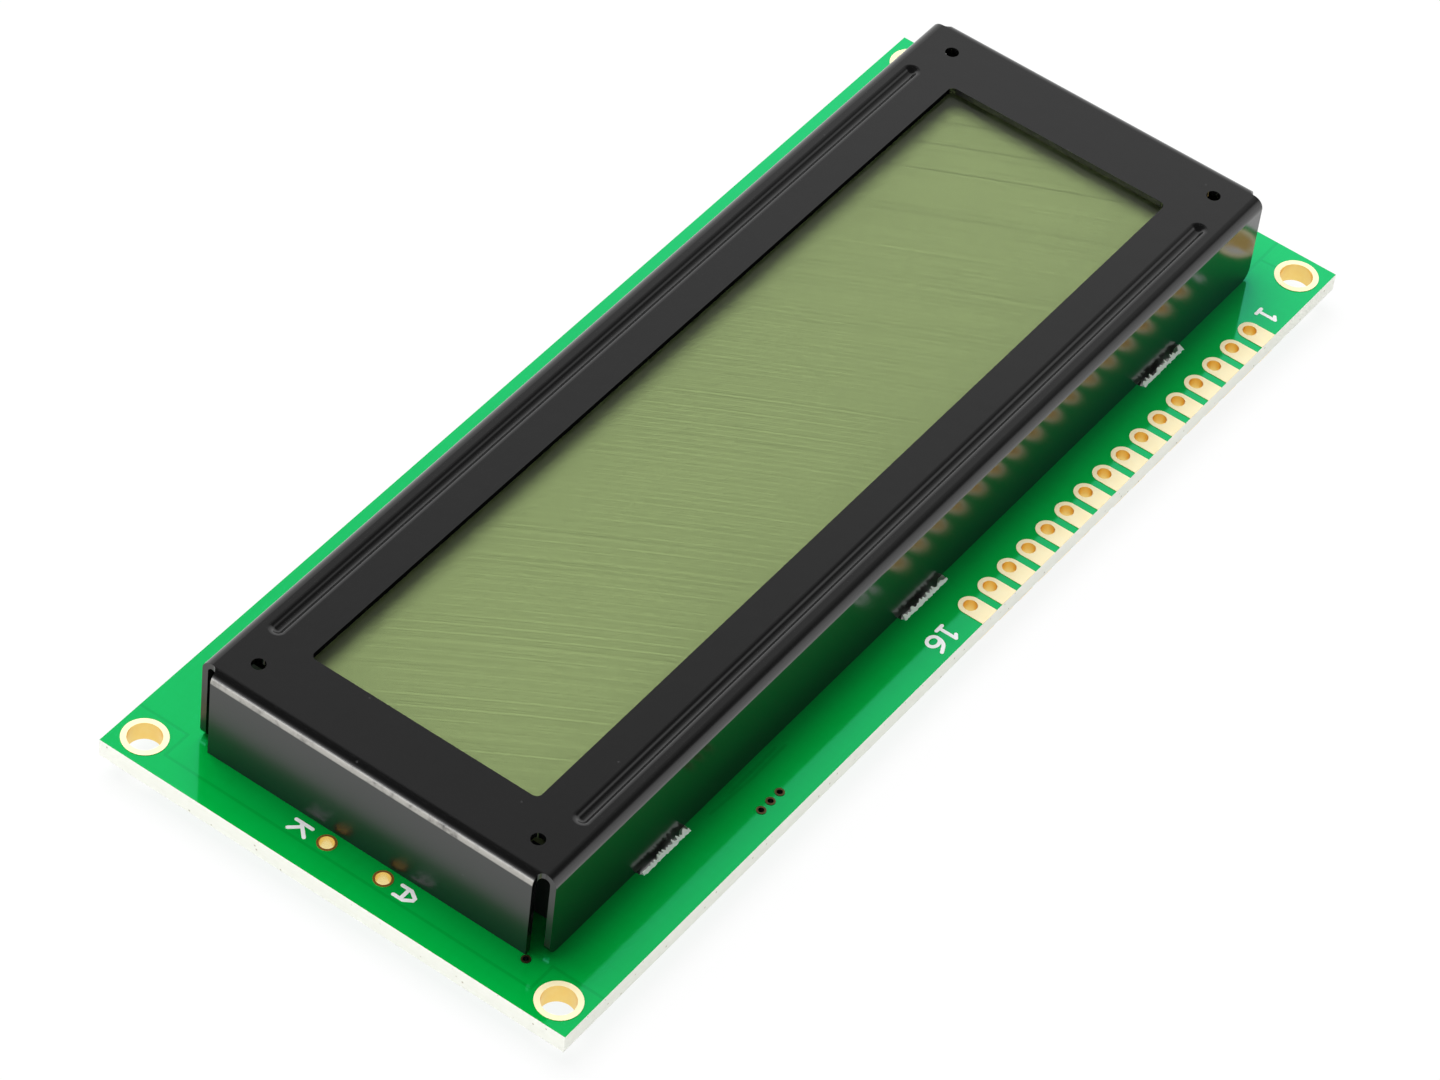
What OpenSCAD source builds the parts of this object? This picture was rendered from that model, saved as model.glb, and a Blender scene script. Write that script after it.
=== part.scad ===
// Character display module with an edge lamp.
//
// A green circuit board carries a liquid crystal cell on a lamp box. One folded steel sheet, the
// bezel, covers both: its four walls stand on the board, and its six tabs pass through slots and
// are twisted behind the board, which clamps the stack.
//
// Origin: centre of the four mounting holes, on the back face of the board.
// +X is the reading direction, +Y points to the pin row, +Z points out of the display.

/* [Circuit board] */
// Length along X
board_l = 99.2; // [97:0.1:120]
// Width along Y
board_w = 41.2; // [40.6:0.1:60]
// Thickness of the laminate
board_t = 1.6; // [0.8:0.1:2.4]
// Thickness of the metal plating on pads and in holes
plating_t = 0.05; // [0.03:0.01:0.1]

/* [Mounting holes] */
// Diameter inside the plating
mount_hole_d = 2.6; // [2:0.1:3]
// Diameter of the plated ring
mount_ring_d = 3.5; // [3.4:0.1:4]
// Distance of each hole from both edges of its corner
mount_inset = 2.25; // [2:0.05:2.5]

/* [Pin row] */
// Pitch of the pins
pin_pitch = 2.54; // [2.2:0.01:2.6]
// Distance of the first pin from the left end of the board
first_pin_x = 9.85; // [6:0.05:11]
// Distance of the pins from the long edge of the board
pin_inset = 1.73; // [1.5:0.01:2.2]
// Diameter inside the plating
pin_hole_d = 1.1; // [0.8:0.05:1.2]
// Width of a pad
pin_pad_w = 1.84; // [1.6:0.02:2]

/* [Lamp terminals] */
// Distance of the two lamp holes from the right end of the board
lamp_inset = 2.96; // [2.2:0.02:3]
// Distance between the two lamp holes
lamp_pitch = 5; // [4:0.1:8]
// Diameter inside the plating
lamp_hole_d = 1.15; // [0.8:0.05:1.3]
// Diameter of the plated pad
lamp_pad_d = 1.5; // [1.45:0.05:1.8]

/* [Vias] */
// Diameter inside the plating
via_hole_d = 0.45; // [0.3:0.05:0.5]
// Diameter of the plated ring
via_pad_d = 0.75; // [0.65:0.05:0.9]
// Distance of the first via of the row of three from the right end of the board
via_row_x = 27.45; // [20:0.05:40]
// Distance of the row of three from the long edge of the board
via_row_inset = 1.8; // [1:0.1:2.4]
// Pitch of the row of three
via_pitch = 1.12; // [1:0.02:2]
// Distance of the corner via from the right end of the board
via_corner_x = 3.7; // [3.4:0.05:3.7]
// Distance of the corner via from the long edge of the board
via_corner_y = 6.2; // [5.8:0.05:6.3]

/* [Bezel] */
// Distance of the short walls' outer faces from the ends of the board
bezel_end = 4; // [3.8:0.1:6]
// Outer width
bezel_w = 31; // [30.4:0.1:32]
// Height of the face above the board
bezel_h = 8.1; // [7.6:0.1:12]
// Thickness of the steel sheet
sheet_t = 0.5; // [0.4:0.05:0.6]
// Outer radius of the folds
fold_r = 0.9; // [0.8:0.05:1.2]
// Length that a corner relief takes off the end of a long wall
relief_x = 0.85; // [0.6:0.05:1.2]
// Length that a corner relief takes off the end of a short wall
relief_y = 1.4; // [0.9:0.05:1.6]
// Radius in the inner corner of a relief
relief_r = 0.5; // [0.2:0.05:0.55]
// Radius of the lower corners of the long walls
foot_r = 1; // [0.5:0.1:1.5]
// Diameter of the four holes in the face
face_hole_d = 1.1; // [0.8:0.1:1.2]
// Distance of those holes from the short walls' outer faces
face_hole_inset_x = 3; // [2:0.05:3.05]
// Distance of those holes from the long walls' outer faces
face_hole_inset_y = 3.25; // [2.5:0.05:4]

/* [Window and beads] */
// Width of the face between the ends of the window and the short walls' outer faces
border_x = 6.1; // [6.1:0.1:15]
// Width of the window
window_w = 20; // [14:0.1:20.2]
// Radius of the window's corners
window_r = 0.5; // [0.2:0.1:1]
// How far the window, and the stack under it, lie towards the right
stack_shift = 0.2; // [0:0.05:0.25]
// Distance of a bead's ends from the short walls' outer faces
bead_end = 6; // [5:0.1:20]
// Width of a bead
bead_w = 1.5; // [1.2:0.1:1.6]
// Depth of a bead
bead_depth = 0.3; // [0.2:0.05:0.35]
// Distance of a bead's middle from the long wall's outer face
bead_inset = 2.1; // [2.05:0.05:2.3]

/* [Tabs] */
// Distance from one tab to the next
tab_pitch = 31.9; // [20:0.1:36]
// Width of a tab
tab_w = 4.6; // [3:0.1:6]
// Length of a tab behind the board
tab_reach = 1.6; // [1.4:0.1:2.4]
// Angle to which a tab's end is twisted
tab_twist = 38; // [20:1:60]
// Clearance between a tab's edge and the end of its slot
slot_end_gap = 0.55; // [0.3:0.05:1]
// Clearance between a tab's face and the side of its slot
slot_side_gap = 0.5; // [0.2:0.05:0.6]
// Radius of a slot's corners
slot_r = 0.4; // [0.2:0.05:0.4]

/* [Liquid crystal cell] */
// How far the polarizing films reach past the window's ends
film_margin = 0.7; // [0.3:0.1:0.9]
// How far both glass plates reach past the films' ends
glass_end = 1.2; // [0.6:0.1:1.3]
// How far the rear glass reaches past the window's long sides
glass_side = 0.7; // [0.6:0.05:0.75]
// How far the front glass reaches past the rear one for its contacts
ledge_w = 1.5; // [1.3:0.05:1.5]
// Thickness of each glass plate
glass_t = 1.1; // [0.55:0.05:1.1]
// Thickness of each polarizing film
film_t = 0.2; // [0.15:0.01:0.25]
// Distance of a contact strip's ends from the ends of the glass
strip_end = 3.2; // [1:0.1:15]

/* [Lamp box] */
// Thickness of the frame's floor
frame_floor_t = 0.8; // [0.6:0.1:1.2]
// Thickness of the frame's end walls
frame_end_t = 1; // [0.6:0.05:1.05]
// Clearance between the frame and the bezel's long walls
frame_side_gap = 0.8; // [0.4:0.1:1]
// Width of the edge on which the rear glass rests
shelf_w = 0.5; // [0.4:0.05:0.55]
// Height of the rails that keep the front glass in line
rail_h = 1.9; // [1.2:0.1:1.9]
// Thickness of the reflecting sheet
reflector_t = 0.2; // [0.1:0.05:0.3]
// Thickness of the diffusing sheet
diffuser_t = 0.2; // [0.1:0.05:0.3]
// Clearance on each side of a piece that drops into the frame
fit_gap = 0.15; // [0.1:0.05:0.2]

/* [Lamps] */
// Length of a lamp along Y
led_w = 3; // [2:0.1:3.6]
// Depth of a lamp along X
led_depth = 0.6; // [0.4:0.1:0.7]
// Height of a lamp
led_h = 1.6; // [1:0.1:2]
// Distance from one lamp to the next
led_pitch = 4.8; // [4:0.1:5]
// Thickness of the strip that carries the lamps
led_strip_t = 0.5; // [0.4:0.1:0.6]
// Clearance between the ends of that strip and the frame
led_strip_gap = 0.6; // [0.2:0.1:1]
// Diameter of a lead pin
lead_d = 0.5; // [0.4:0.05:0.6]
// Length of a lead pin behind the board
lead_tail = 1; // [0.9:0.1:1.3]
// Diameter of a solder joint on the board
solder_d = 1.8; // [1.4:0.1:2.2]
// Height of a solder joint
solder_h = 0.7; // [0.4:0.1:0.8]

/* [Back of the board] */
// Diameter of the drop over the controller chip
controller_blob_d = 18; // [12:0.5:19]
// Diameter of the drop over the driver chip
driver_blob_d = 15; // [10:0.5:18]
// Height of both drops
blob_h = 1.3; // [0.8:0.1:1.3]
// Place of the controller's drop along X
controller_x = -19; // [-22:0.5:-17]
// Place of the driver's drop along X
driver_x = 14; // [10:0.5:22]
// Length of a chip resistor or capacitor
chip_l = 2; // [1.6:0.1:2.4]
// Width of a chip resistor or capacitor
chip_w = 1.25; // [0.8:0.05:1.4]
// Height of a chip resistor
resistor_h = 0.5; // [0.4:0.05:0.6]
// Height of a chip capacitor
capacitor_h = 0.9; // [0.6:0.1:1.1]
// Length of each metal end of a chip
chip_end_l = 0.4; // [0.2:0.05:0.5]
// How far the metal ends stand proud of a chip's body
chip_end_proud = 0.04; // [0.02:0.01:0.06]
// Pitch of the row of chips
chip_pitch = 2.8; // [2.4:0.1:3.5]
// Distance of the row of chips from the controller's drop
chip_row_gap = 1.6; // [0.4:0.1:2.2]

/* [Hidden] */
$fn = 48;

// What repeats
pin_count = 16;
led_count = 4;
resistor_count = 6;
capacitor_count = 2;
tab_count = 3;

// Cuts run this far past the faces that they open
over = 1;

// Board
mount_span_x = board_l - 2 * mount_inset;
mount_span_y = board_w - 2 * mount_inset;
pin_y = board_w / 2 - pin_inset;
pin_x0 = -board_l / 2 + first_pin_x;
lamp_x = board_l / 2 - lamp_inset;

// Bezel
bezel_l = board_l - 2 * bezel_end;
window_l = bezel_l - 2 * border_x;
bead_l = bezel_l - 2 * bead_end;
face_z = board_t + bezel_h;
under_z = face_z - sheet_t;
wall_y = bezel_w / 2 - sheet_t / 2;
bead_y = bezel_w / 2 - bead_inset;
bead_turn = bead_w / 4;
bead_r = (bead_turn * bead_turn + bead_depth * bead_depth / 4) / bead_depth;
bead_run = bead_l - bead_w;
slot_l = tab_w + 2 * slot_end_gap;
slot_w = sheet_t + 2 * slot_side_gap;

// Cell, from the bezel down
film_l = window_l + 2 * film_margin;
glass_l = film_l + 2 * glass_end;
rear_glass_w = window_w + 2 * glass_side;
front_glass_w = rear_glass_w + 2 * ledge_w;
front_film_z = under_z - film_t;
front_glass_z = front_film_z - glass_t;
rear_glass_z = front_glass_z - glass_t;
rear_film_z = rear_glass_z - film_t;
strip_l = glass_l - 2 * strip_end;
strip_w = ledge_w - 2 * fit_gap;
strip_y = (rear_glass_w + ledge_w) / 2;

// Lamp box, from the board up
pocket_l = glass_l - 2 * shelf_w;
pocket_w = rear_glass_w - 2 * shelf_w;
frame_l = pocket_l + 2 * frame_end_t;
frame_w = bezel_w - 2 * sheet_t - 2 * frame_side_gap;
rail_y = front_glass_w / 2 + fit_gap;
rail_w = frame_w / 2 - rail_y;
floor_z = board_t + frame_floor_t;
guide_z = floor_z + reflector_t;
diffuser_z = rear_film_z - diffuser_t;
guide_t = diffuser_z - guide_z;
led_strip_x = stack_shift + pocket_l / 2 - led_strip_t;
led_x = led_strip_x - led_depth;
guide_x0 = stack_shift - pocket_l / 2 + fit_gap;
guide_l = led_x - fit_gap - guide_x0;
guide_w = pocket_w - 2 * fit_gap;
lead_x = led_strip_x + led_strip_t / 2;
lead_hole_d = lead_d + 2 * fit_gap;

// Back of the board
chip_x0 = controller_x - controller_blob_d / 2;
chip_y = -controller_blob_d / 2 - chip_row_gap - chip_l / 2;

function numbered(name, count) = [for (i = [1:count]) str(name, "_", i)];

// ---------- Places ----------

// Mounting hole i: front row first, left before right
function mount_place(i) = [
    (i % 2 == 0 ? -1 : 1) * mount_span_x / 2,
    (i < 2 ? -1 : 1) * mount_span_y / 2
];

// Pin hole i, from the left
function pin_place(i) = [pin_x0 + i * pin_pitch, pin_y];

// Lamp hole: side 1 is the anode, side -1 the cathode
function lamp_place(side) = [lamp_x, side * lamp_pitch / 2];

// Lead pin of the lamp strip, in line with its terminal
function lead_place(side) = [lead_x, side * lamp_pitch / 2];

// Via i: three in a row, then the one at the bezel's corner
function via_place(i) = i < 3
    ? [board_l / 2 - via_row_x + i * via_pitch, board_w / 2 - via_row_inset]
    : [board_l / 2 - via_corner_x, board_w / 2 - via_corner_y];

// Tab i along X, from the left
function tab_x(i) = (i - (tab_count - 1) / 2) * tab_pitch;

// ---------- Shared shapes ----------

// A block centred on x and y, standing on z
module block(l, w, h, z) {
    translate([-l / 2, -w / 2, z])
        cube([l, w, h]);
}

// A rectangle with round corners, centred
module rounded_rect(l, w, r) {
    square([l - 2 * r, w], center = true);
    square([l, w - 2 * r], center = true);
    for (sx = [-1, 1], sy = [-1, 1])
        translate([sx * (l / 2 - r), sy * (w / 2 - r)])
            circle(r);
}

// A round hole through the board
module drill(place, d) {
    translate([place[0], place[1], -over])
        cylinder(d = d, h = board_t + 2 * over);
}

// A plated hole: pads of the children's outline on both faces, joined by a sleeve
module plated_hole(place, d) {
    color("gold")
        difference() {
            union() {
                for (z = [-plating_t, board_t])
                    translate([place[0], place[1], z])
                        linear_extrude(plating_t)
                            children();
                translate([place[0], place[1], -plating_t])
                    cylinder(d = d + 2 * plating_t, h = board_t + 2 * plating_t);
            }
            drill(place, d);
        }
}

// ---------- Circuit board ----------

// The hole that the plating lines
module plated_drill(place, d) {
    drill(place, d + 2 * plating_t);
}

// The slot that a bezel tab passes through
module tab_slot() {
    translate([0, 0, -over])
        linear_extrude(board_t + 2 * over)
            rounded_rect(slot_l, slot_w, slot_r);
}

module circuit_board() {
    color("seagreen")
        difference() {
            block(board_l, board_w, board_t, 0);
            for (i = [0:3])
                plated_drill(mount_place(i), mount_hole_d);
            for (i = [0:pin_count - 1])
                plated_drill(pin_place(i), pin_hole_d);
            for (i = [0:3])
                plated_drill(via_place(i), via_hole_d);
            for (side = [-1, 1]) {
                plated_drill(lamp_place(side), lamp_hole_d);
                drill(lead_place(side), lead_hole_d);
            }
            for (i = [0:tab_count - 1], side = [-1, 1])
                translate([tab_x(i), side * wall_y, 0])
                    tab_slot();
        }
}

module mounting_ring(i) {
    plated_hole(mount_place(i), mount_hole_d)
        circle(d = mount_ring_d);
}

// The pad has a round inner end and runs out to the board's edge
module pin_pad(i) {
    plated_hole(pin_place(i), pin_hole_d) {
        circle(d = pin_pad_w);
        translate([-pin_pad_w / 2, 0])
            square([pin_pad_w, pin_inset]);
    }
}

module lamp_pad(side) {
    plated_hole(lamp_place(side), lamp_hole_d)
        circle(d = lamp_pad_d);
}

module via(i) {
    plated_hole(via_place(i), via_hole_d)
        circle(d = via_pad_d);
}

// ---------- Bezel ----------

// Cross-section of a folded cover: flat top, round shoulders, upright sides
module fold_profile(w, h, r) {
    translate([-w / 2, 0])
        square([w, h - r]);
    translate([-w / 2 + r, 0])
        square([w - 2 * r, h]);
    for (side = [-1, 1])
        translate([side * (w / 2 - r), h - r])
            circle(r);
}

// A form over which a sheet is folded on all four sides, standing on the board
module fold_form(l, w, h, r) {
    translate([0, 0, board_t])
        intersection() {
            translate([-l / 2, 0, 0])
                rotate([90, 0, 90])
                    linear_extrude(l)
                        fold_profile(w, h, r);
            translate([0, w / 2, 0])
                rotate([90, 0, 0])
                    linear_extrude(w)
                        fold_profile(l, h, r);
        }
}

// The sheet that is left between the outside and the inside of the fold
module folded_sheet() {
    difference() {
        fold_form(bezel_l, bezel_w, bezel_h, fold_r);
        fold_form(bezel_l - 2 * sheet_t, bezel_w - 2 * sheet_t, bezel_h - sheet_t, fold_r - sheet_t);
    }
}

// The open corner between two walls, with a round inner corner
module corner_relief() {
    reach = relief_x + relief_y;
    translate([bezel_l / 2 - relief_x, bezel_w / 2 - relief_y, 0])
        linear_extrude(face_z + over) {
            translate([relief_r, 0])
                square(reach);
            translate([0, relief_r])
                square(reach);
            translate([relief_r, relief_r])
                circle(relief_r);
        }
}

// What the rounding takes off the lower corner of a long wall
module foot_rounding() {
    translate([bezel_l / 2 - relief_x - foot_r, bezel_w / 2 + over, board_t])
        rotate([90, 0, 0])
            linear_extrude(over + relief_y)
                difference() {
                    translate([0, -over])
                        square(foot_r + over);
                    translate([0, foot_r])
                        circle(foot_r);
                }
}

// Half of a bead's cross-section, seen along it: a round bottom runs into a round shoulder
module bead_profile() {
    difference() {
        translate([0, -bead_depth / 2])
            square([2 * bead_turn, bead_depth / 2 + over]);
        translate([2 * bead_turn, -bead_r])
            circle(bead_r);
    }
    intersection() {
        translate([0, bead_r - bead_depth])
            circle(bead_r);
        translate([0, -bead_depth])
            square([bead_turn, bead_depth / 2]);
    }
}

// The groove that a bead leaves in the face, along X
module bead_groove() {
    translate([stack_shift, 0, face_z])
        for (end = [0, 1])
            mirror([end, 0, 0]) {
                for (side = [0, 1])
                    mirror([0, side, 0])
                        rotate([90, 0, 90])
                            linear_extrude(bead_run / 2)
                                bead_profile();
                translate([bead_run / 2, 0, 0])
                    rotate([0, 0, -90])
                        rotate_extrude(angle = 180)
                            bead_profile();
            }
}

// A rod with ball ends along X, as round as the underside of a bead
module bead_rod() {
    translate([stack_shift - bead_run / 2, 0, face_z - bead_depth + bead_r]) {
        rotate([0, 90, 0])
            cylinder(r = bead_r + sheet_t, h = bead_run);
        for (x = [0, bead_run])
            translate([x, 0, 0])
                sphere(bead_r + sheet_t);
    }
}

// The ridge that a bead raises under the face
module bead_ridge() {
    intersection() {
        bead_rod();
        translate([stack_shift, 0, 0])
            block(bead_l + 2 * sheet_t, bead_w + 2 * sheet_t, face_z - board_t - sheet_t / 2, board_t);
    }
}

// A tab: straight through the board, then twisted behind it
module tab() {
    block(tab_w, sheet_t, board_t + sheet_t, 0);
    mirror([0, 0, 1])
        linear_extrude(tab_reach, twist = tab_twist, slices = 6, segments = 8)
            square([tab_w, sheet_t], center = true);
}

module bezel() {
    color([0.09, 0.09, 0.1]) {
        difference() {
            union() {
                folded_sheet();
                for (side = [-1, 1])
                    translate([0, side * bead_y, 0])
                        bead_ridge();
            }
            for (side = [-1, 1])
                translate([0, side * bead_y, 0])
                    bead_groove();
            translate([stack_shift, 0, board_t])
                linear_extrude(bezel_h + over)
                    rounded_rect(window_l, window_w, window_r);
            for (sx = [-1, 1], sy = [-1, 1])
                translate([sx * (bezel_l / 2 - face_hole_inset_x), sy * (bezel_w / 2 - face_hole_inset_y), board_t])
                    cylinder(d = face_hole_d, h = bezel_h + over);
            for (mx = [0, 1], my = [0, 1])
                mirror([mx, 0, 0])
                    mirror([0, my, 0]) {
                        corner_relief();
                        foot_rounding();
                    }
        }
        for (i = [0:tab_count - 1], side = [-1, 1])
            translate([tab_x(i), side * wall_y, 0])
                tab();
    }
}

// ---------- Liquid crystal cell ----------

// A flat sheet of the stack, in line with the window
module stack_sheet(l, w, t, z) {
    translate([stack_shift, 0, 0])
        block(l, w, t, z);
}

module front_polarizer() {
    color("darkseagreen")
        stack_sheet(film_l, rear_glass_w, film_t, front_film_z);
}

module front_glass() {
    color("lightcyan")
        stack_sheet(glass_l, front_glass_w, glass_t, front_glass_z);
}

module rear_glass() {
    color("lightcyan")
        stack_sheet(glass_l, rear_glass_w, glass_t, rear_glass_z);
}

module rear_polarizer() {
    color("darkseagreen")
        stack_sheet(film_l, guide_w, film_t, rear_film_z);
}

// Striped rubber that joins the front glass to the board
module contact_strip(side) {
    color("dimgray")
        translate([0, side * strip_y, 0])
            stack_sheet(strip_l, strip_w, front_glass_z - board_t, board_t);
}

// ---------- Lamp box ----------

module backlight_frame() {
    color("ivory")
        difference() {
            union() {
                stack_sheet(frame_l, frame_w, rear_glass_z - board_t, board_t);
                for (side = [-1, 1])
                    translate([0, side * (rail_y + rail_w / 2), 0])
                        stack_sheet(frame_l, rail_w, rear_glass_z - board_t + rail_h, board_t);
            }
            stack_sheet(pocket_l, pocket_w, bezel_h, floor_z);
            for (side = [-1, 1]) {
                translate([0, side * strip_y, 0])
                    stack_sheet(strip_l + 2 * fit_gap, ledge_w, bezel_h + 2 * over, board_t - over);
                drill(lead_place(side), lead_hole_d);
                translate([0, 0, board_t])
                    drill(lead_place(side), lead_hole_d);
            }
        }
}

// A sheet that lies in the frame's pocket, clear of the lamps
module pocket_sheet(t, z) {
    translate([guide_x0, -guide_w / 2, z])
        cube([guide_l, guide_w, t]);
}

module reflector_sheet() {
    color("white")
        pocket_sheet(reflector_t, floor_z);
}

module light_guide() {
    color("honeydew")
        pocket_sheet(guide_t, guide_z);
}

module diffuser_sheet() {
    color("whitesmoke")
        pocket_sheet(diffuser_t, diffuser_z);
}

module led_strip() {
    w = pocket_w - 2 * led_strip_gap;
    color("darkkhaki")
        translate([led_strip_x, -w / 2, floor_z])
            cube([led_strip_t, w, diffuser_z - floor_z]);
}

module led(i) {
    y = (i - (led_count - 1) / 2) * led_pitch;
    color("lemonchiffon")
        translate([led_x, y - led_w / 2, guide_z + (guide_t - led_h) / 2])
            cube([led_depth, led_w, led_h]);
}

// The pin stands under the lamp strip and ends behind the board
module lead(side) {
    place = lead_place(side);
    color("silver")
        translate([place[0], place[1], -lead_tail])
            cylinder(d = lead_d, h = floor_z + lead_tail);
}

module solder_joint(side) {
    place = lead_place(side);
    color("silver")
        difference() {
            translate([place[0], place[1], -solder_h])
                cylinder(d1 = lead_d + 2 * fit_gap, d2 = solder_d, h = solder_h);
            drill(place, lead_d);
        }
}

// ---------- Back of the board ----------

// A flat drop of resin over a bare chip
module chip_blob(x, d) {
    r = (d * d / 4 + blob_h * blob_h) / (2 * blob_h);
    color([0.12, 0.12, 0.12])
        translate([x, 0, 0])
            rotate_extrude()
                intersection() {
                    translate([0, r - blob_h])
                        circle(r, $fn = 360);
                    translate([0, -blob_h - over])
                        square([d, blob_h + over]);
                }
}

// A chip resistor or capacitor: a body between two metal ends
module chip(i, h) {
    translate([chip_x0 + i * chip_pitch, chip_y, -h - chip_end_proud]) {
        block(chip_w, chip_l, h, chip_end_proud / 2);
        for (side = [-1, 1])
            translate([0, side * (chip_l - chip_end_l) / 2, 0])
                block(chip_w + chip_end_proud, chip_end_l, h + chip_end_proud, 0);
    }
}

module chip_resistor(i) {
    color("dimgray")
        chip(i, resistor_h);
}

module chip_capacitor(i) {
    color("tan")
        chip(resistor_count + i, capacitor_h);
}

// ---------- Nodes ----------

circuit_board();
bezel();
front_polarizer();
front_glass();
rear_glass();
rear_polarizer();
contact_strip(1);  // contact_strip_top
contact_strip(-1);  // contact_strip_bottom
backlight_frame();
reflector_sheet();
light_guide();
diffuser_sheet();
led_strip();
lead(1);  // anode_lead
lead(-1);  // cathode_lead
solder_joint(1);  // anode_solder
solder_joint(-1);  // cathode_solder
lamp_pad(1);  // anode_pad
lamp_pad(-1);  // cathode_pad
chip_blob(controller_x, controller_blob_d);  // controller_blob
chip_blob(driver_x, driver_blob_d);  // driver_blob
for (i = [0:led_count - 1])
    led(i);
for (i = [0:pin_count - 1])
    pin_pad(i);
for (i = [0:3])
    mounting_ring(i);
for (i = [0:3])
    via(i);
for (i = [0:resistor_count - 1])
    chip_resistor(i);
for (i = [0:capacitor_count - 1])
    chip_capacitor(i);
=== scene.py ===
"""Dresses the character display module: materials, printed marks, torn slots, light and camera."""
import math
import random

import bmesh
import bpy
from mathutils import Matrix, Vector


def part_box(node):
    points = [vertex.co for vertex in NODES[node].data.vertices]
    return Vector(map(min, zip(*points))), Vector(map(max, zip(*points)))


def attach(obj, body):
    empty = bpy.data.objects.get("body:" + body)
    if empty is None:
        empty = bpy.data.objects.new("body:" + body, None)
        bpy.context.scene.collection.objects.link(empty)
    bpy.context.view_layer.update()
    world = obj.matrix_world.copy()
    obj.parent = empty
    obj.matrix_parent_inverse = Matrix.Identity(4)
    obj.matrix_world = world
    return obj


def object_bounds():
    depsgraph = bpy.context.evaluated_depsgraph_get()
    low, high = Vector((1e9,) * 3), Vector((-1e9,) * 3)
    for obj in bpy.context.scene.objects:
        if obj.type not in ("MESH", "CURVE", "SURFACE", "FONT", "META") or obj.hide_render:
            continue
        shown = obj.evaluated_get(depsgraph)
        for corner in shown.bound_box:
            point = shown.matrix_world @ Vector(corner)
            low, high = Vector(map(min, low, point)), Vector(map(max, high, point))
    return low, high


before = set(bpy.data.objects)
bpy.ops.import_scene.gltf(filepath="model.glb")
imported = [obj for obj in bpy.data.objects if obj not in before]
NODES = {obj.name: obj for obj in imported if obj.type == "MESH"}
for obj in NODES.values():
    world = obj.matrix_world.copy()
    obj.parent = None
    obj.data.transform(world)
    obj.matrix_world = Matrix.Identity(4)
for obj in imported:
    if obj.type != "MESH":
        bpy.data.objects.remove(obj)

CAD_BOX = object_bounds()
MM = 0.001

# Lengths below are millimetres in the row frame
LAMINATE_TOP = 1.6
FLOOR_Z = CAD_BOX[0].z / MM


# ---------------------------------------------------------------- node graphs

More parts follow.
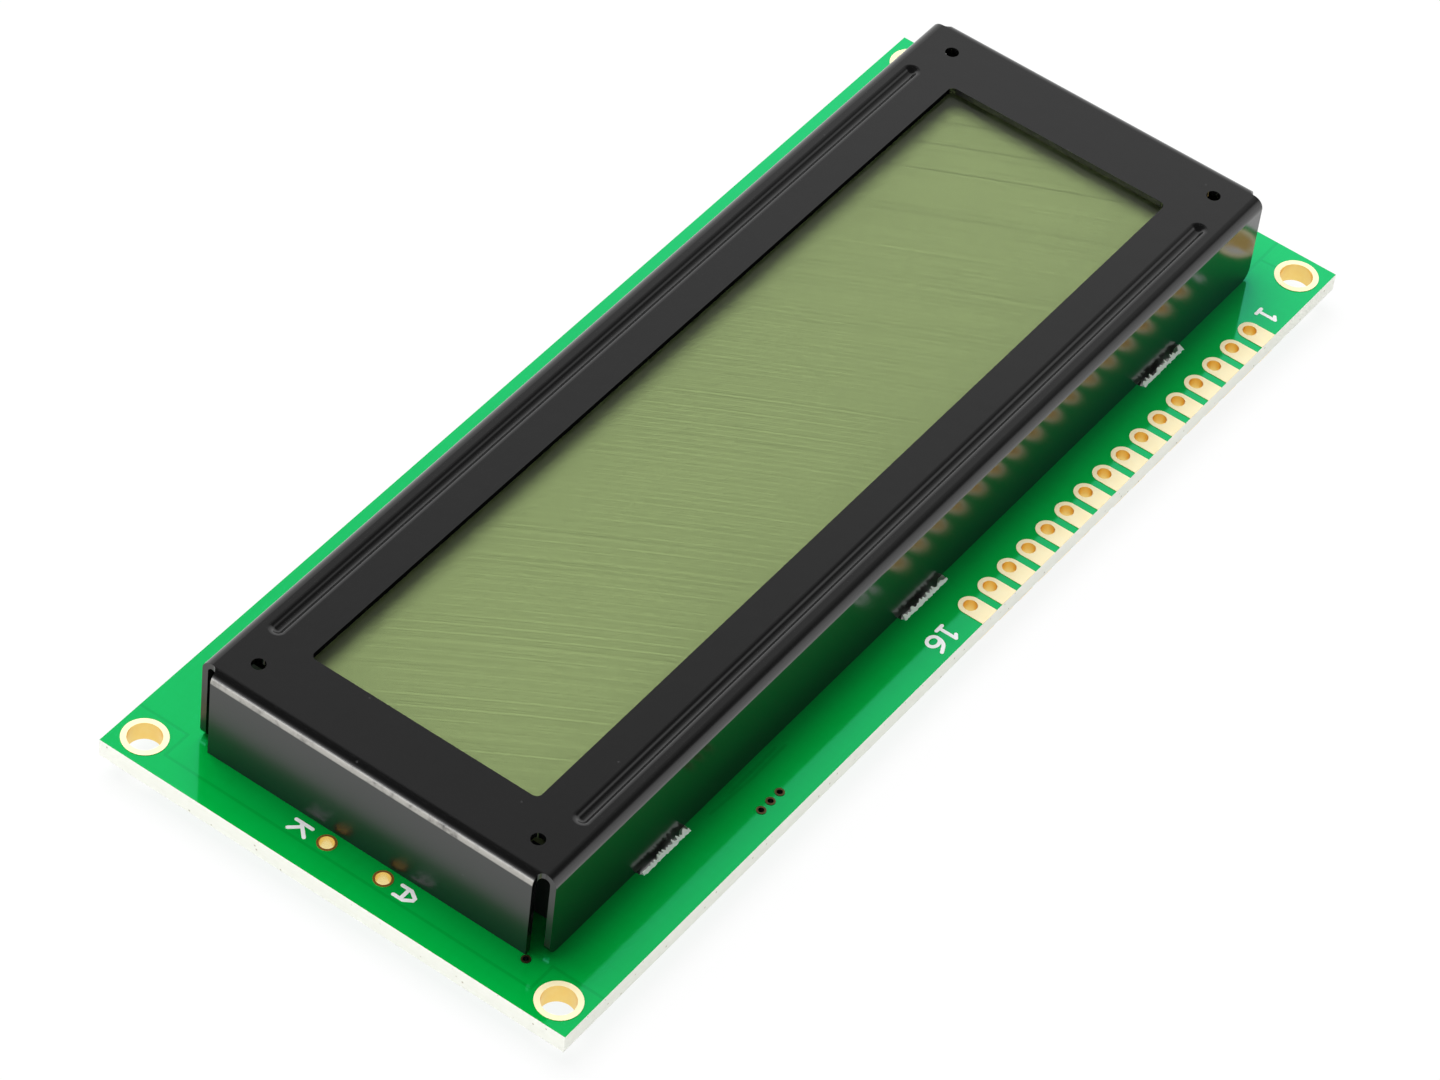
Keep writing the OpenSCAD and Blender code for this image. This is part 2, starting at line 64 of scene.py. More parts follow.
class Graph:
    """Adds shader nodes to a material or a world; lengths inside are millimetres."""

    def __init__(self, owner):
        owner.use_nodes = True
        self.owner = owner
        self.tree = owner.node_tree
        self.tree.nodes.clear()
        self.places = None

    def node(self, kind, inputs=(), **settings):
        made = self.tree.nodes.new(kind)
        for name, value in settings.items():
            setattr(made, name, value)
        for key, value in dict(inputs).items():
            self.put(made.inputs[key], value)
        return made

    def put(self, socket, value):
        if isinstance(value, bpy.types.NodeSocket):
            self.tree.links.new(value, socket)
        elif hasattr(socket.default_value, "__len__") and not hasattr(value, "__len__"):
            socket.default_value = [value] * 3 + [1.0] * (len(socket.default_value) - 3)
        elif hasattr(value, "__len__") and len(socket.default_value) > len(value):
            socket.default_value = [*value, 1.0]
        else:
            socket.default_value = value

    def math(self, operation, a, b=0.0, clamp=False):
        made = self.node("ShaderNodeMath", {0: a, 1: b}, operation=operation)
        made.use_clamp = clamp
        return made.outputs[0]

    def vector(self, operation, a, b=(0.0, 0.0, 0.0)):
        return self.node("ShaderNodeVectorMath", {0: a, 1: b}, operation=operation).outputs[0]

    def place(self):
        """The point in the row frame, in millimetres."""
        if self.places is None:
            found = self.node("ShaderNodeTexCoord").outputs["Object"]
            scaled = self.node("ShaderNodeVectorMath", {0: found, "Scale": 1 / MM}, operation="SCALE")
            self.places = scaled.outputs[0]
        return self.places

    def axis(self, name, vector=None):
        parts = self.node("ShaderNodeSeparateXYZ", {0: vector or self.place()})
        return parts.outputs[name]

    def facing(self, name):
        """The part of the surface's direction that lies along an axis of the row frame."""
        return self.axis(name, self.node("ShaderNodeTexCoord").outputs["Normal"])

    def step(self, value, low, high):
        """0 below low, 1 above high, smooth between; low may be above high."""
        made = self.node("ShaderNodeMapRange", {"Value": value, "From Min": low, "From Max": high},
                         interpolation_type="SMOOTHSTEP")
        return made.outputs[0]

    def blend(self, share, a, b):
        made = self.node("ShaderNodeMix", data_type="RGBA")
        for key, value in ((0, share), (6, a), (7, b)):
            self.put(made.inputs[key], value)
        return made.outputs[2]

    def noise(self, size, detail=2.0, roughness=0.5, stretch=(1.0, 1.0, 1.0)):
        """Cloudy noise from 0 to 1 whose lumps are about size millimetres across."""
        scale = tuple(s / size for s in stretch)
        place = self.vector("MULTIPLY", self.place(), scale)
        made = self.node("ShaderNodeTexNoise", {"Vector": place, "Scale": 1.0, "Detail": detail,
                                                "Roughness": roughness})
        return made.outputs[0]

    def cells(self, size):
        """The distance to the nearest of scattered points about size millimetres apart."""
        place = self.vector("MULTIPLY", self.place(), (1 / size,) * 3)
        made = self.node("ShaderNodeTexVoronoi", {"Vector": place, "Scale": 1.0}, feature="F1")
        return made.outputs["Distance"]

    def near_lines(self, lines, width):
        """1 on the lines, 0 away from them; each line is a run of (x, y) points."""
        place = self.vector("MULTIPLY", self.place(), (1.0, 1.0, 0.0))
        nearest = None
        for line in lines:
            for (x0, y0), (x1, y1) in zip(line, line[1:]):
                start, along = Vector((x0, y0, 0)), Vector((x1 - x0, y1 - y0, 0))
                offset = self.vector("SUBTRACT", place, tuple(start))
                share = self.node("ShaderNodeVectorMath", {0: offset, 1: tuple(along)},
                                  operation="DOT_PRODUCT").outputs["Value"]
                share = self.math("MULTIPLY", share, 1 / along.length_squared, clamp=True)
                foot = self.node("ShaderNodeVectorMath", {0: tuple(along), "Scale": share},
                                 operation="SCALE").outputs[0]
                gap = self.node("ShaderNodeVectorMath", {0: offset, 1: foot},
                                operation="DISTANCE").outputs["Value"]
                nearest = gap if nearest is None else self.math("MINIMUM", nearest, gap)
        soft = 0.04
        return self.step(nearest, width / 2 + soft, width / 2 - soft)

    def bump(self, height, depth, normal=None):
        """Raises the surface by height, 0 to 1, times depth millimetres."""
        inputs = {"Height": height, "Distance": depth * MM, "Strength": 1.0}
        if normal:
            inputs["Normal"] = normal
        return self.node("ShaderNodeBump", inputs).outputs[0]

    def surface(self, **sockets):
        """A Principled shader; socket names are written with underscores."""
        named = {name.replace("_", " "): value for name, value in sockets.items()}
        return self.node("ShaderNodeBsdfPrincipled", named).outputs[0]

    def mix(self, share, a, b):
        return self.node("ShaderNodeMixShader", {0: share, 1: a, 2: b}).outputs[0]

    def finish(self, shader):
        kind = "World" if isinstance(self.owner, bpy.types.World) else "Material"
        self.node("ShaderNodeOutput" + kind, {"Surface": shader})
        return self.owner


def new_material(name):
    return Graph(bpy.data.materials.new(name))


def grey(value):
    return (value, value, value)


def dress(material, *names):
    """Gives a material to CAD nodes; a name that ends in _ stands for the numbered ones."""
    for name, node in NODES.items():
        if any(name == n or (n.endswith("_") and name.startswith(n)) for n in names):
            node.data.materials.clear()
            node.data.materials.append(material)


# ------------------------------------------------------------------ materials

MASK_DARK = (0.0, 0.470, 0.048)
MASK_LIGHT = (0.0, 0.585, 0.086)
MASK_ON_LAMINATE = (0.0, 0.310, 0.028)
MASK_GLINT = (0.12, 0.78, 0.62, 1.0)
LAMINATE_DARK = (0.92, 0.93, 0.83)
LAMINATE = (0.98, 0.98, 0.92)
SPECK = (0.30, 0.24, 0.12)

# Gaps in the copper under the mask, which show as faint lines, on the front of the board
RIGHT_GAP_X, CORNER_GAP_X, CORNER_GAP_Y = 47.7, 45.2, 16.2
POUR_GAPS = (
    ((CORNER_GAP_X, 20.6), (CORNER_GAP_X, CORNER_GAP_Y), (RIGHT_GAP_X, CORNER_GAP_Y),
     (RIGHT_GAP_X, -CORNER_GAP_Y), (CORNER_GAP_X, -CORNER_GAP_Y), (CORNER_GAP_X, -20.6)),
    ((-49.6, 15.2), (-45.2, 15.2)),
    ((-47.1, 16.6), (-47.0, 15.2)),
    ((18.3, 16.5), (22.3, 16.55), (27.0, 16.25)),
    ((19.0, 16.1), (24.5, 16.15)),
)


def cut_laminate(g):
    """The board's cut sides: pale glass cloth in thin layers, with a few dark specks."""
    layers = g.noise(0.18, 3.0, 0.6, (0.15, 0.15, 1.0))
    specks = g.step(g.cells(0.9), 0.13, 0.05)
    colour = g.blend(layers, LAMINATE_DARK, LAMINATE)
    colour = g.blend(g.math("MULTIPLY", specks, 0.6), colour, SPECK)
    return g.surface(Base_Color=colour, Roughness=0.65, IOR=1.4, Normal=g.bump(layers, 0.004))


def solder_mask(g):
    """Green lacquer over copper, whose glint it tints, with the weave just showing."""
    front = g.step(g.facing("Z"), 0.0, 0.5)
    cloud = g.noise(9.0, 3.0, 0.55)
    peel = g.noise(0.9, 2.0, 0.5)
    weave = g.math("MULTIPLY", g.noise(0.5, 1.0, 0.5, (1.0, 0.12, 1.0)),
                   g.noise(0.5, 1.0, 0.5, (0.12, 1.0, 1.0)))
    tone = g.math("ADD", g.math("MULTIPLY", cloud, 0.6), g.math("MULTIPLY", weave, 0.4))
    gaps = g.math("MULTIPLY", front, g.near_lines(POUR_GAPS, 0.24))
    colour = g.blend(tone, MASK_DARK, MASK_LIGHT)
    colour = g.blend(g.math("MULTIPLY", gaps, 0.35), colour, MASK_ON_LAMINATE)
    height = g.math("SUBTRACT", g.math("MULTIPLY", peel, 0.25), g.math("MULTIPLY", gaps, 0.25))
    return g.surface(Base_Color=colour, Roughness=0.07, IOR=5.0, Specular_Tint=MASK_GLINT,
                     Normal=g.bump(height, 0.006))


def board_material():
    """Green solder mask on both faces, pale glass laminate on every cut side."""
    g = new_material("board")
    flat = g.step(g.math("ABSOLUTE", g.facing("Z")), 0.6, 0.8)
    return g.finish(g.mix(flat, cut_laminate(g), solder_mask(g)))


ENAMEL = grey(0.0045)
# Painted highlight: the light grey put on the end folds where the lamps would reflect
FOLD_HIGHLIGHT_GREY = (0.46, 0.445, 0.405)
RIM_Y = 10.0  # where the window's long cut edges lie, either side of the middle
END_WALL_SPRING = 0.11  # how far the end walls spring outwards at the foot, as a slope


def enamel_material():
    """Glossy black stoving enamel on pressed steel, with a painted highlight in light grey along the end
    folds and painted shade on the window's long cut edges.
    """
    g = new_material("black_enamel")
    peel = g.noise(1.6, 2.0, 0.45)
    haze = g.noise(14.0, 3.0, 0.6)
    dust = g.step(g.cells(2.4), 0.05, 0.02)
    lean = g.math("ABSOLUTE", g.facing("X"))
    # Painted highlight: a patchy light grey band on the outer part of the end folds
    fold = g.math("MULTIPLY", g.step(lean, 0.80, 0.88), g.step(lean, 0.9995, 0.990))
    fold = g.math("MULTIPLY", fold, g.step(g.facing("Z"), 0.0, 0.1))
    painted_fold_highlight = g.math("MULTIPLY", fold, g.step(g.noise(1.1, 3.0, 0.6), 0.15, 0.55))
    colour = g.blend(g.math("MULTIPLY", dust, 0.5), ENAMEL, grey(0.05))
    colour = g.blend(g.math("MULTIPLY", painted_fold_highlight, 0.85), colour, FOLD_HIGHLIGHT_GREY)
    rough = g.node("ShaderNodeMapRange", {"Value": haze, "To Min": 0.12, "To Max": 0.20}).outputs[0]
    rough = g.math("ADD", rough, g.math("MULTIPLY", g.step(lean, 0.97, 0.9995), 0.13))
    spring = g.math("MULTIPLY", g.step(lean, 0.97, 0.9995), END_WALL_SPRING)
    lift = g.node("ShaderNodeCombineXYZ", {"Z": spring}).outputs[0]
    unsprung = g.node("ShaderNodeNewGeometry").outputs["Normal"]
    sprung = g.vector("NORMALIZE", g.vector("ADD", unsprung, lift))
    normal = g.bump(peel, 0.0035, sprung)
    painted = g.surface(Base_Color=colour, Roughness=rough, IOR=1.7, Normal=normal)
    # Painted shade: the window's long cut edges get a flat near-black without gloss, for the black band
    # of shade along them
    cut = g.math("MULTIPLY", g.step(g.math("ABSOLUTE", g.facing("Y")), 0.90, 0.97),
                 g.step(g.math("ABSOLUTE", g.axis("Y")), RIM_Y + 0.3, RIM_Y + 0.1))
    rim_painted_shade = g.node("ShaderNodeBsdfDiffuse", {"Color": g.blend(haze, grey(0.001), grey(0.004))}).outputs[0]
    return g.finish(g.mix(cut, painted, rim_painted_shade))


def film_material():
    """The polarizing film: grey-green, see-through, with a gloss that grows at low angles."""
    g = new_material("polarizing_film")
    ripple = g.bump(g.noise(6.0, 2.0, 0.5), 0.0012)
    haze = g.noise(18.0, 2.0, 0.5)
    tint = g.blend(haze, (0.915, 0.930, 0.885), (0.925, 0.940, 0.895))
    clear = g.node("ShaderNodeBsdfTransparent", {"Color": tint}).outputs[0]
    gloss = g.node("ShaderNodeBsdfAnisotropic", {"Roughness": 0.05, "Normal": ripple}).outputs[0]
    outside = g.math("SUBTRACT", 1.0, g.node("ShaderNodeNewGeometry").outputs["Backfacing"])
    share = g.node("ShaderNodeFresnel", {"IOR": 1.5, "Normal": ripple}).outputs[0]
    share = g.math("MULTIPLY", share, outside)
    return g.finish(g.mix(share, clear, gloss))


def cell_layer(g):
    """The liquid crystal layer between the two glasses, grey-green when no segment is on."""
    cloud = g.noise(16.0, 3.0, 0.5)
    grain = g.noise(0.12, 1.0, 0.5)
    tone = g.math("ADD", g.math("MULTIPLY", cloud, 0.7), g.math("MULTIPLY", grain, 0.3))
    colour = g.blend(tone, (0.406, 0.482, 0.236), (0.440, 0.520, 0.257))
    return g.surface(Base_Color=colour, Roughness=0.55, IOR=1.3)


def front_glass_material():
    """Clear glass whose underside, seen through the glass, carries the liquid crystal."""
    g = new_material("front_glass")
    tint = g.blend(g.noise(12.0, 2.0, 0.5), (0.975, 0.985, 0.975), (0.985, 0.995, 0.985))
    clear = g.node("ShaderNodeBsdfTransparent", {"Color": tint}).outputs[0]
    gloss = g.node("ShaderNodeBsdfAnisotropic", {"Roughness": 0.03}).outputs[0]
    glass = g.mix(0.015, clear, gloss)
    inside = g.node("ShaderNodeNewGeometry").outputs["Backfacing"]
    underside = g.math("MULTIPLY", inside, g.step(g.facing("Z"), 0.3, 0.6))
    return g.finish(g.mix(underside, glass, cell_layer(g)))


def rear_glass_material():
    g = new_material("rear_glass")
    return g.finish(cell_layer(g))


def plastic(name, dark, light, rough, grain=0.35, depth=0.004):
    """A moulded plastic: two close tones in soft clouds over a fine grain."""
    g = new_material(name)
    fine = g.noise(grain, 3.0, 0.55)
    colour = g.blend(g.noise(grain * 20, 3.0, 0.5), dark, light)
    low, high = rough
    spread = g.node("ShaderNodeMapRange", {"Value": fine, "To Min": low, "To Max": high}).outputs[0]
    return g.finish(g.surface(Base_Color=colour, Roughness=spread, Normal=g.bump(fine, depth)))


def rubber_material():
    """The contact strips: fine black and pale layers side by side along the strip."""
    g = new_material("contact_rubber")
    wave = g.math("SINE", g.math("MULTIPLY", g.axis("X"), 2 * math.pi / 0.18))
    stripes = g.step(wave, -0.3, 0.3)
    colour = g.blend(stripes, grey(0.02), (0.42, 0.40, 0.36))
    normal = g.bump(stripes, 0.01)
    return g.finish(g.surface(Base_Color=colour, Roughness=0.6, Normal=normal))


def gold_material():
    """Thin gold over a matt finish: lightly grained, with slow changes of tone."""
    g = new_material("pad_gold")
    cloud = g.noise(0.9, 3.0, 0.55)
    grain = g.noise(0.09, 2.0, 0.5)
    flat = g.step(g.math("ABSOLUTE", g.facing("Z")), 0.6, 0.9)
    plate = g.blend(cloud, (1.0, 0.85, 0.50), (1.0, 0.92, 0.62))
    barrel = g.blend(cloud, (0.98, 0.64, 0.16), (1.0, 0.74, 0.26))
    rough = g.node("ShaderNodeMapRange", {"Value": grain, "To Min": 0.26, "To Max": 0.40}).outputs[0]
    bright = g.math("MULTIPLY", g.math("SUBTRACT", 1.0, flat), 0.9)
    return g.finish(g.surface(Base_Color=g.blend(flat, barrel, plate), Metallic=bright, Roughness=rough,
                              Normal=g.bump(grain, 0.002)))


def lamp_pad_material():
    """A gold bore in a narrow flat ring that is painted dark brown as shade."""
    g = new_material("lamp_pad_gold")
    grain = g.noise(0.09, 2.0, 0.5)
    flat = g.step(g.math("ABSOLUTE", g.facing("Z")), 0.6, 0.9)
    # Painted shade: the flat ring round the bore is dark brown
    ring_painted_shade = g.blend(grain, (0.13, 0.05, 0.008), (0.30, 0.14, 0.03))
    bore = g.blend(grain, (1.0, 0.72, 0.26), (1.0, 0.84, 0.42))
    bright = g.math("MULTIPLY", g.math("SUBTRACT", 1.0, flat), 0.9)
    return g.finish(g.surface(Base_Color=g.blend(flat, bore, ring_painted_shade), Metallic=bright, Roughness=0.25,
                              Normal=g.bump(grain, 0.002)))


def metal(name, dark, light, rough, grain, depth):
    g = new_material(name)
    fine = g.noise(grain, 3.0, 0.6)
    colour = g.blend(g.noise(grain * 6, 2.0, 0.5), dark, light)
    low, high = rough
    spread = g.node("ShaderNodeMapRange", {"Value": fine, "To Min": low, "To Max": high}).outputs[0]
    return g.finish(g.surface(Base_Color=colour, Metallic=1.0, Roughness=spread,
                              Normal=g.bump(fine, depth)))


def via_material():
    """A small plated hole: a gold rim round a bore whose walls are painted near black as shade, the bore
    being too narrow for light.
    """
    g = new_material("via_plating")
    rim = g.step(g.math("ABSOLUTE", g.facing("Z")), 0.5, 0.9)
    grain = g.noise(0.08, 2.0, 0.5)
    # Painted shade: every face but the rim is near black
    colour = g.blend(rim, grey(0.004), g.blend(grain, (0.50, 0.36, 0.16), (0.62, 0.46, 0.22)))
    return g.finish(g.surface(Base_Color=colour, Metallic=rim, Roughness=0.4,
                              Normal=g.bump(grain, 0.003)))


def chip_material(name, body_dark, body_light, row):
    """A chip part: tinned ends at both ends along Y and a fired body between them."""
    g = new_material(name)
    low, high = (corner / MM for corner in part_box(row))
    middle = (low.y + high.y) / 2
    reach = (high.y - low.y) / 2
    from_middle = g.math("ABSOLUTE", g.math("SUBTRACT", g.axis("Y"), middle))
    ragged = g.math("MULTIPLY", g.noise(0.15, 2.0, 0.5), 0.08)
    end = g.step(g.math("ADD", from_middle, ragged), reach - 0.42, reach - 0.36)
    grain = g.noise(0.12, 3.0, 0.6)
    body = g.blend(grain, body_dark, body_light)
    colour = g.blend(end, body, (0.72, 0.72, 0.70))
    normal = g.bump(grain, 0.004)
    return g.finish(g.surface(Base_Color=colour, Metallic=end, Roughness=0.32, Normal=normal))


def dress_nodes():
    dress(board_material(), "circuit_board")
    dress(enamel_material(), "bezel")
    film = film_material()
    dress(film, "front_polarizer", "rear_polarizer")
    dress(front_glass_material(), "front_glass")
    dress(rear_glass_material(), "rear_glass")
    dress(rubber_material(), "contact_strip_top", "contact_strip_bottom")
    dress(plastic("lamp_frame", grey(0.020), grey(0.034), (0.4, 0.55)), "backlight_frame")
    dress(plastic("white_sheet", grey(0.80), grey(0.86), (0.5, 0.7)),
          "reflector_sheet", "diffuser_sheet")
    dress(plastic("clear_plastic", (0.80, 0.84, 0.82), (0.86, 0.89, 0.87), (0.08, 0.14)), "light_guide")
    dress(plastic("strip_laminate", (0.55, 0.55, 0.50), (0.66, 0.65, 0.58), (0.4, 0.6)), "led_strip")
    dress(plastic("lamp_resin", (0.80, 0.72, 0.30), (0.88, 0.80, 0.38), (0.15, 0.3)), "led_")
    dress(metal("tinned_wire", grey(0.62), grey(0.72), (0.22, 0.4), 0.15, 0.004),
          "anode_lead", "cathode_lead")
    dress(metal("solder", grey(0.66), grey(0.78), (0.16, 0.34), 0.2, 0.006),
          "anode_solder", "cathode_solder")
    dress(gold_material(), "pin_pad_", "mounting_ring_")
    dress(lamp_pad_material(), "anode_pad", "cathode_pad")
    dress(via_material(), "via_")
    dress(plastic("black_resin", grey(0.010), grey(0.020), (0.22, 0.42), 0.5, 0.01),
          "controller_blob", "driver_blob")
    dress(chip_material("resistor_body", grey(0.012), grey(0.03), "chip_resistor_1"), "chip_resistor_")
    dress(chip_material("capacitor_body", (0.30, 0.19, 0.10), (0.40, 0.27, 0.15), "chip_capacitor_1"),
          "chip_capacitor_")


# ----------------------------------------------------------------- new pieces

def add_piece(name, mesh, material):
    piece = bpy.data.objects.new(name, mesh)
    bpy.context.scene.collection.objects.link(piece)
    mesh.materials.append(material)
    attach(piece, "root")


def prism(edit, outline, low, high):
    """Adds a closed prism over an outline of (x, y) millimetres."""
    bottom = [edit.verts.new((x * MM, y * MM, low * MM)) for x, y in outline]
    top = [edit.verts.new((x * MM, y * MM, high * MM)) for x, y in outline]
    edit.faces.new(reversed(bottom))
    edit.faces.new(top)
    count = len(outline)
    for i in range(count):
        j = (i + 1) % count
        edit.faces.new((bottom[i], bottom[j], top[j], top[i]))


def mesh_from(name, fill):
    """A mesh that fill draws into a bmesh."""
    edit = bmesh.new()
    fill(edit)
    bmesh.ops.recalc_face_normals(edit, faces=edit.faces)
    mesh = bpy.data.meshes.new(name)
    edit.to_mesh(mesh)
    edit.free()
    return mesh


# Printed marks. Each stroke is a line through points, in a box 1 high with its origin at the
# middle of the foot; an arc is written as its centre, radii, first angle and last angle.

def arc(x, y, rx, ry, first, last, steps=14):
    angles = (math.radians(first + (last - first) * i / steps) for i in range(steps + 1))
    return [(x + rx * math.cos(a), y + ry * math.sin(a)) for a in angles]


GLYPHS = {
    "K": [[(-0.34, 0.0), (-0.34, 1.0)], [(0.34, 1.0), (-0.24, 0.42)], [(-0.14, 0.52), (0.34, 0.0)]],
    "A": [[(-0.36, 0.0), (-0.36, 0.56), (-0.08, 0.97), (0.08, 0.97), (0.36, 0.56), (0.36, 0.0)],
          [(-0.36, 0.42), (0.36, 0.42)]],
    "1": [[(0.0, 1.0), (0.0, 0.0)], [(-0.22, 0.84), (0.0, 1.0)], [(-0.24, 0.0), (0.24, 0.0)]],
    "6": [[(0.30, 1.0), (0.12, 0.93)] + arc(0.24, 0.34, 0.60, 0.58, 104, 172, 8),
          arc(0.0, 0.28, 0.36, 0.29, 0, 180, 14), arc(0.0, 0.28, 0.36, 0.29, 180, 360, 14)],
}
PEN, GLYPH_ADVANCE = 0.29, 0.92
INK_DEPTH, INK_SINK = 0.022, 0.01
INK_STEP = 0.001  # lifts each stroke of a glyph over the last, so that their tops don't coincide


def stroke_outline(line, width):
    """The outline of a pen stroke with round ends along a line of (x, y) points."""
    points = [Vector(p) for p in line]
    half = width / 2
    sides = ([], [])
    for i, point in enumerate(points):
        before = points[max(i - 1, 0)]
        after = points[min(i + 1, len(points) - 1)]
        into = (point - before).normalized() if i else (after - point).normalized()
        out = (after - point).normalized() if i < len(points) - 1 else into
        mean = (into + out).normalized()
        across = Vector((-mean.y, mean.x)) * (half / max(mean.dot(into), 0.5))
        sides[0].append(point + across)
        sides[1].append(point - across)

    def cap(centre, start):
        rim = start - centre
        turns = (Matrix.Rotation(-math.pi * k / 6, 2) for k in range(1, 6))
        return [centre + turn @ rim for turn in turns]

    return (sides[0] + cap(points[-1], sides[0][-1])
            + sides[1][::-1] + cap(points[0], sides[1][0]))


def print_marks():
    """White silkscreen: the lamp terminals' letters and the numbers of the end pins."""
    g = new_material("silkscreen")
    grain = g.noise(0.12, 2.0, 0.6)
    colour = g.blend(grain, grey(0.90), grey(0.98))
    ink = g.finish(g.surface(Base_Color=colour, Roughness=0.6, Normal=g.bump(grain, 0.008)))
    marks = (
        ("mark_cathode", "K", (46.80, -5.48), 1.45),
        ("mark_anode", "A", (46.74, 3.88), 1.45),
        ("mark_first_pin", "1", (-42.05, 18.24), 1.5),
        ("mark_last_pin", "16", (2.40, 18.42), 1.5),
    )
    for name, word, (x, y), height in marks:
        advance = GLYPH_ADVANCE * height

        def fill(edit):
            for place, glyph in enumerate(word):
                shift = (place - (len(word) - 1) / 2) * advance
                for layer, line in enumerate(GLYPHS[glyph]):
                    path = [(x + shift + u * height, y + v * height) for u, v in line]
                    top = LAMINATE_TOP + INK_DEPTH + layer * INK_STEP
                    prism(edit, stroke_outline(path, PEN), LAMINATE_TOP - INK_SINK, top)

        add_piece(name, mesh_from(name, fill), ink)


# The tab slots are punched, which leaves a torn pale fringe of laminate along the outer side. Its
# teeth are drawn at random, reach over the slot by about one of four lengths, and end on the board.

SLOT_PLACES, SLOT_HALF, SLOT_OUTER = (-31.9, 0.0, 31.9), 2.85, 16.0
TOOTH_PITCH, TOOTH_FIRST = 0.16, 0.1
TOOTH_REACHES, TOOTH_ENDS = (0.06, 0.12, 0.20, 0.32), (0.08, 0.18)
LIP_FOOT, LIP_SLOPE, LIP_SINK = 0.2, 0.55, 0.06


def raised_lip(edit, outline):
    """A flat strip whose top rises towards the slot, as the punch leaves it."""
    prism(edit, outline, LAMINATE_TOP - LIP_SINK, LAMINATE_TOP)
    for vertex in edit.verts:
        if vertex.co.z > (LAMINATE_TOP - LIP_SINK / 2) * MM:
            vertex.co.z += LIP_SLOPE * ((SLOT_OUTER + LIP_FOOT) * MM - abs(vertex.co.y))


def add_frays():
    g = new_material("torn_laminate")
    fibres = g.noise(0.12, 3.0, 0.6, (0.4, 1.0, 1.0))
    colour = g.blend(fibres, (0.78, 0.94, 0.80), (0.97, 1.0, 0.96))
    torn = g.finish(g.surface(Base_Color=colour, Roughness=0.7, Normal=g.bump(fibres, 0.01)))
    draw = random.Random(11)
    for side, label in ((1, "near"), (-1, "far")):
        for number, middle in enumerate(SLOT_PLACES, 1):
            count = int(2 * SLOT_HALF / TOOTH_PITCH)
            first = middle - SLOT_HALF + TOOTH_FIRST
            inner, outer = [], []
            for k in range(count):
                x = first + k * TOOTH_PITCH
                reach = draw.choice(TOOTH_REACHES) * draw.uniform(0.7, 1.1)
                inner.append((x + draw.uniform(-0.04, 0.04), side * (SLOT_OUTER - reach)))
                outer.append((x, side * (SLOT_OUTER + draw.uniform(*TOOTH_ENDS))))
            outline = inner + outer[::-1]
            mesh = mesh_from("fray", lambda edit: raised_lip(edit, outline))
            add_piece(f"slot_fray_{label}_{number}", mesh, torn)


# -------------------------------------------------------- camera, floor, light

CAMERA_AZIMUTH, CAMERA_ELEVATION, CAMERA_ROLL = 120.85, 46.195, 7.437
CAMERA_DISTANCE, CAMERA_TARGET = 432.757, (5.11, 1.064, 1.6)
CAMERA_LENS = 147.33


def direction(azimuth, elevation):
    a, e = math.radians(azimuth), math.radians(elevation)
    return Vector((math.sin(a) * math.cos(e), -math.cos(a) * math.cos(e), math.sin(e)))


def add_camera():
    back = direction(CAMERA_AZIMUTH, CAMERA_ELEVATION)
    right = Vector((0, 0, 1)).cross(back).normalized()
    up = back.cross(right)
    roll = math.radians(CAMERA_ROLL)
    right, up = (right * math.cos(roll) + up * math.sin(roll),
                 up * math.cos(roll) - right * math.sin(roll))
    data = bpy.data.cameras.new("camera")
    data.lens, data.sensor_width = CAMERA_LENS, 36.0
    data.clip_start, data.clip_end = 0.01, 20.0
    camera = bpy.data.objects.new("camera", data)
    place = (Vector(CAMERA_TARGET) + back * CAMERA_DISTANCE) * MM
    camera.matrix_world = Matrix.Translation(place) @ Matrix((right, up, back)).transposed().to_4x4()
    bpy.context.scene.collection.objects.link(camera)
    bpy.context.scene.camera = camera


def seen_rays(g, *names):
    """1 for the rays that show the background: the camera's, and those named."""
    path = g.node("ShaderNodeLightPath")
    share = path.outputs["Is Camera Ray"]
    for name in names:
        share = g.math("MAXIMUM", share, path.outputs[name])
    return share


FLOOR_HALF, FLOOR_T = 3000, 2
FLOOR_GLOW = 0.90  # share of plain white in the floor that the camera sees


def add_floor():
    """A white floor that looks white in the picture and still takes the object's shadow."""
    g = new_material("floor")
    cloud = g.noise(60.0, 2.0, 0.5)
    colour = g.blend(cloud, grey(0.83), grey(0.86))
    matt = g.node("ShaderNodeBsdfDiffuse", {"Color": colour}).outputs[0]
    glow = g.node("ShaderNodeEmission", {"Color": grey(1.0), "Strength": 1.0}).outputs[0]
    white = g.mix(FLOOR_GLOW, matt, glow)
    shown = seen_rays(g, "Is Glossy Ray", "Is Transmission Ray")
    material = g.finish(g.mix(shown, matt, white))
    mesh = mesh_from("floor", lambda edit: prism(
        edit, [(-FLOOR_HALF, -FLOOR_HALF), (FLOOR_HALF, -FLOOR_HALF),
               (FLOOR_HALF, FLOOR_HALF), (-FLOOR_HALF, FLOOR_HALF)], FLOOR_Z - FLOOR_T, FLOOR_Z))
    mesh.materials.append(material)
    floor = bpy.data.objects.new("floor", mesh)
    bpy.context.scene.collection.objects.link(floor)


# How bright the studio is at each height of a direction, from the horizon, 0, to overhead, 1
SKY_STEPS = ((0.00, 1.10), (0.36, 0.82), (0.56, 0.70), (0.67, 0.55), (0.72, 0.34), (0.78, 0.21),
             (1.00, 0.18))
SKY_SIDE = (-0.858, -0.513, 0.0)  # the side on which the studio stays bright higher up
SKY_DIM = 0.85  # how much of its light the studio loses higher up on the other side


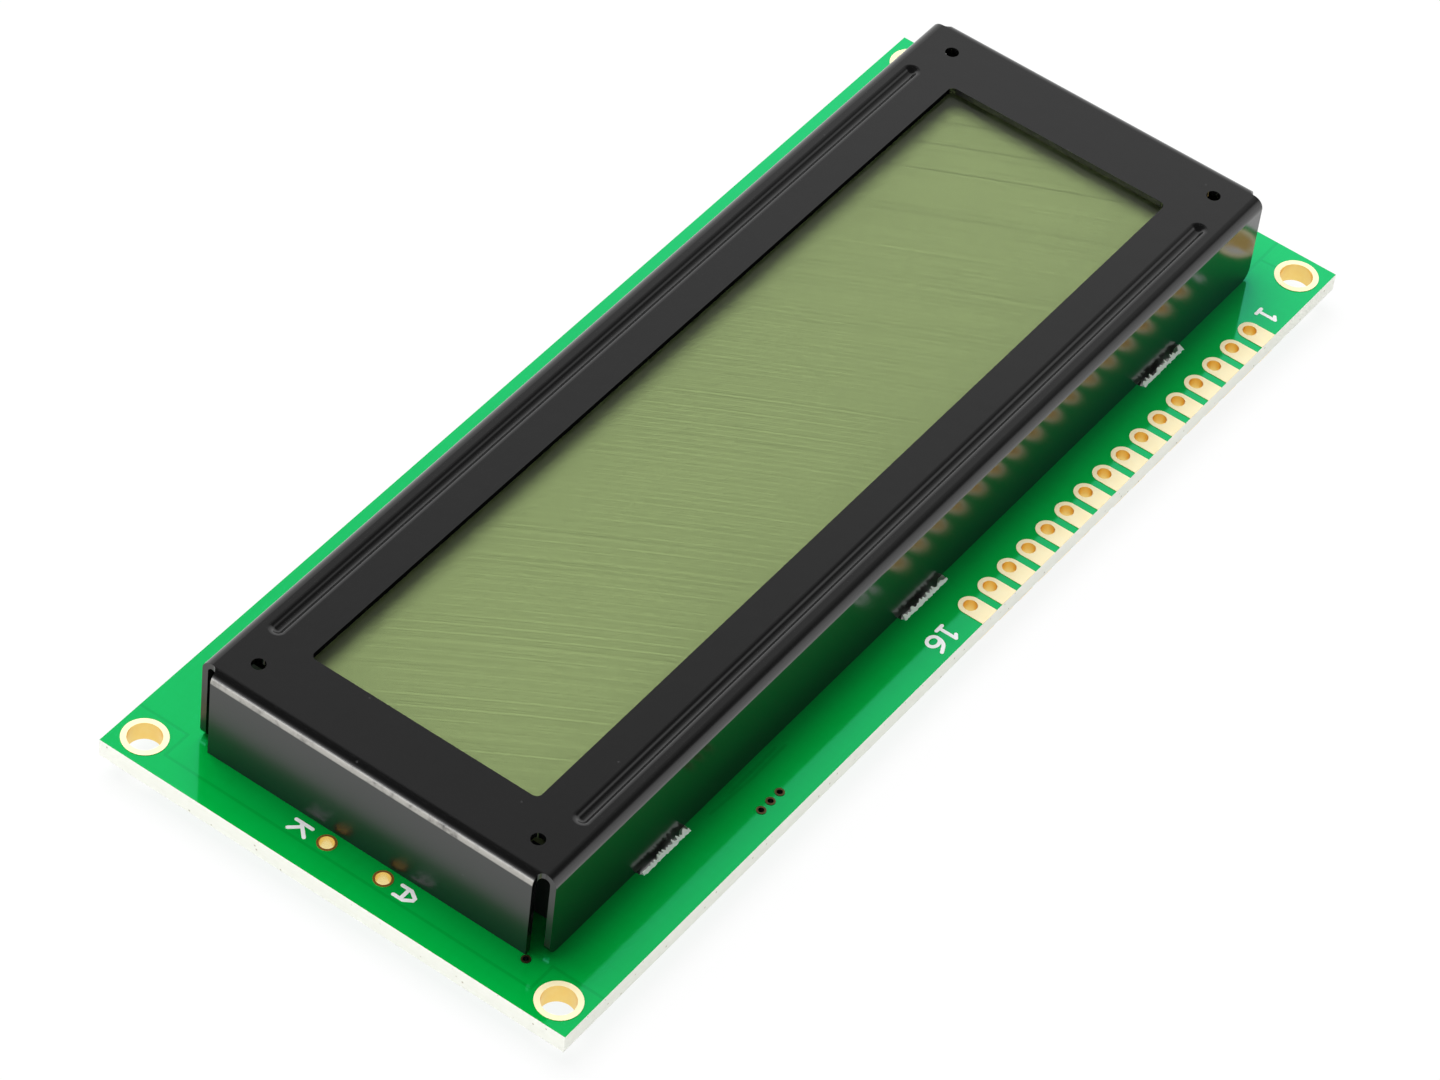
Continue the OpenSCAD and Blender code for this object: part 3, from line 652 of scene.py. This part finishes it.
def add_world():
    """A studio that is bright near the floor and darker overhead, most of all on one side."""
    world = bpy.data.worlds.new("studio")
    bpy.context.scene.world = world
    g = Graph(world)
    ray = g.node("ShaderNodeTexCoord").outputs["Generated"]
    height = g.math("MAXIMUM", g.axis("Z", ray), 0.0)
    lean = g.node("ShaderNodeVectorMath", {0: ray, 1: SKY_SIDE},
                  operation="DOT_PRODUCT").outputs["Value"]
    dim = g.math("MULTIPLY", g.step(height, 0.45, 0.65), g.step(lean, 0.60, 0.35))
    keep = g.math("SUBTRACT", 1.0, g.math("MULTIPLY", dim, SKY_DIM))
    curve = g.node("ShaderNodeValToRGB", {0: height})
    stops = curve.color_ramp.elements
    while len(stops) < len(SKY_STEPS):
        stops.new(0.5)
    for stop, (place, level) in zip(stops, SKY_STEPS):
        stop.position, stop.color = place, (level, level, level, 1.0)
    sky = g.node("ShaderNodeBackground", {"Color": curve.outputs[0], "Strength": keep}).outputs[0]
    white = g.node("ShaderNodeBackground", {"Color": grey(1.0), "Strength": 1.0}).outputs[0]
    g.finish(g.mix(seen_rays(g, "Is Transmission Ray"), sky, white))


def add_softbox(name, azimuth, elevation, distance, size, level, seen_in_gloss):
    """An area lamp; level is how bright its face is, where 1 is white."""
    data = bpy.data.lights.new(name, "AREA")
    data.shape = "RECTANGLE"
    data.size, data.size_y = size
    data.energy = level * math.pi * size[0] * size[1]
    lamp = bpy.data.objects.new(name, data)
    back = direction(azimuth, elevation)
    lamp.location = back * distance
    lamp.rotation_mode = "QUATERNION"
    lamp.rotation_quaternion = back.to_track_quat("Z", "Y")
    lamp.visible_glossy = seen_in_gloss
    bpy.context.scene.collection.objects.link(lamp)


def add_light():
    add_world()
    add_softbox("main_softbox", -19, 68, 1.2, (1.1, 0.9), 6.2, False)
    add_softbox("low_softbox", 68, 11, 0.9, (0.34, 0.27), 3.2, True)


dress_nodes()
print_marks()
add_frays()
add_camera()
add_floor()
add_light()
bpy.context.scene.view_settings.view_transform = "Standard"
